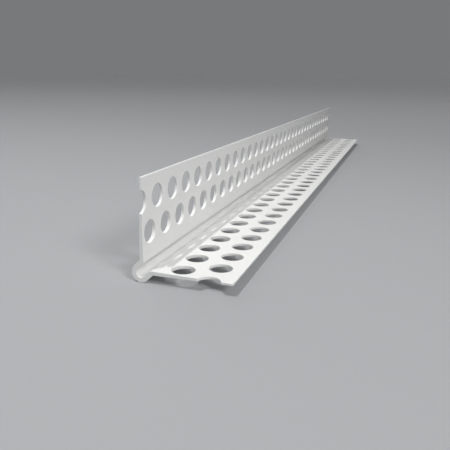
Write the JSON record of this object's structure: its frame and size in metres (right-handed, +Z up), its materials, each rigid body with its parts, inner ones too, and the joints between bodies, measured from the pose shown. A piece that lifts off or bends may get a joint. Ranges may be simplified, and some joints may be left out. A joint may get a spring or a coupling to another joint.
{
  "type": "plaster corner bead",
  "caption": "Straight L-section plaster corner bead: perforated legs at a right angle, joined by a hollow rounded nose that protects the corner.",
  "frame": {"origin": "centre of the bounding box's underside: below the middle of the strip, level with the lowest line of the nose", "axes": "+Y along the strip, +X along the flat leg towards its free edge, +Z up along the upright leg towards its free edge"},
  "size_m": [0.0266, 0.305, 0.0267],
  "materials": {
    "pvc": "satin white extruded rigid PVC, with matt saw-cut ends"
  },
  "bodies": {
    "root": {"corner_bead": "pvc"}
  },
  "joints": []
}
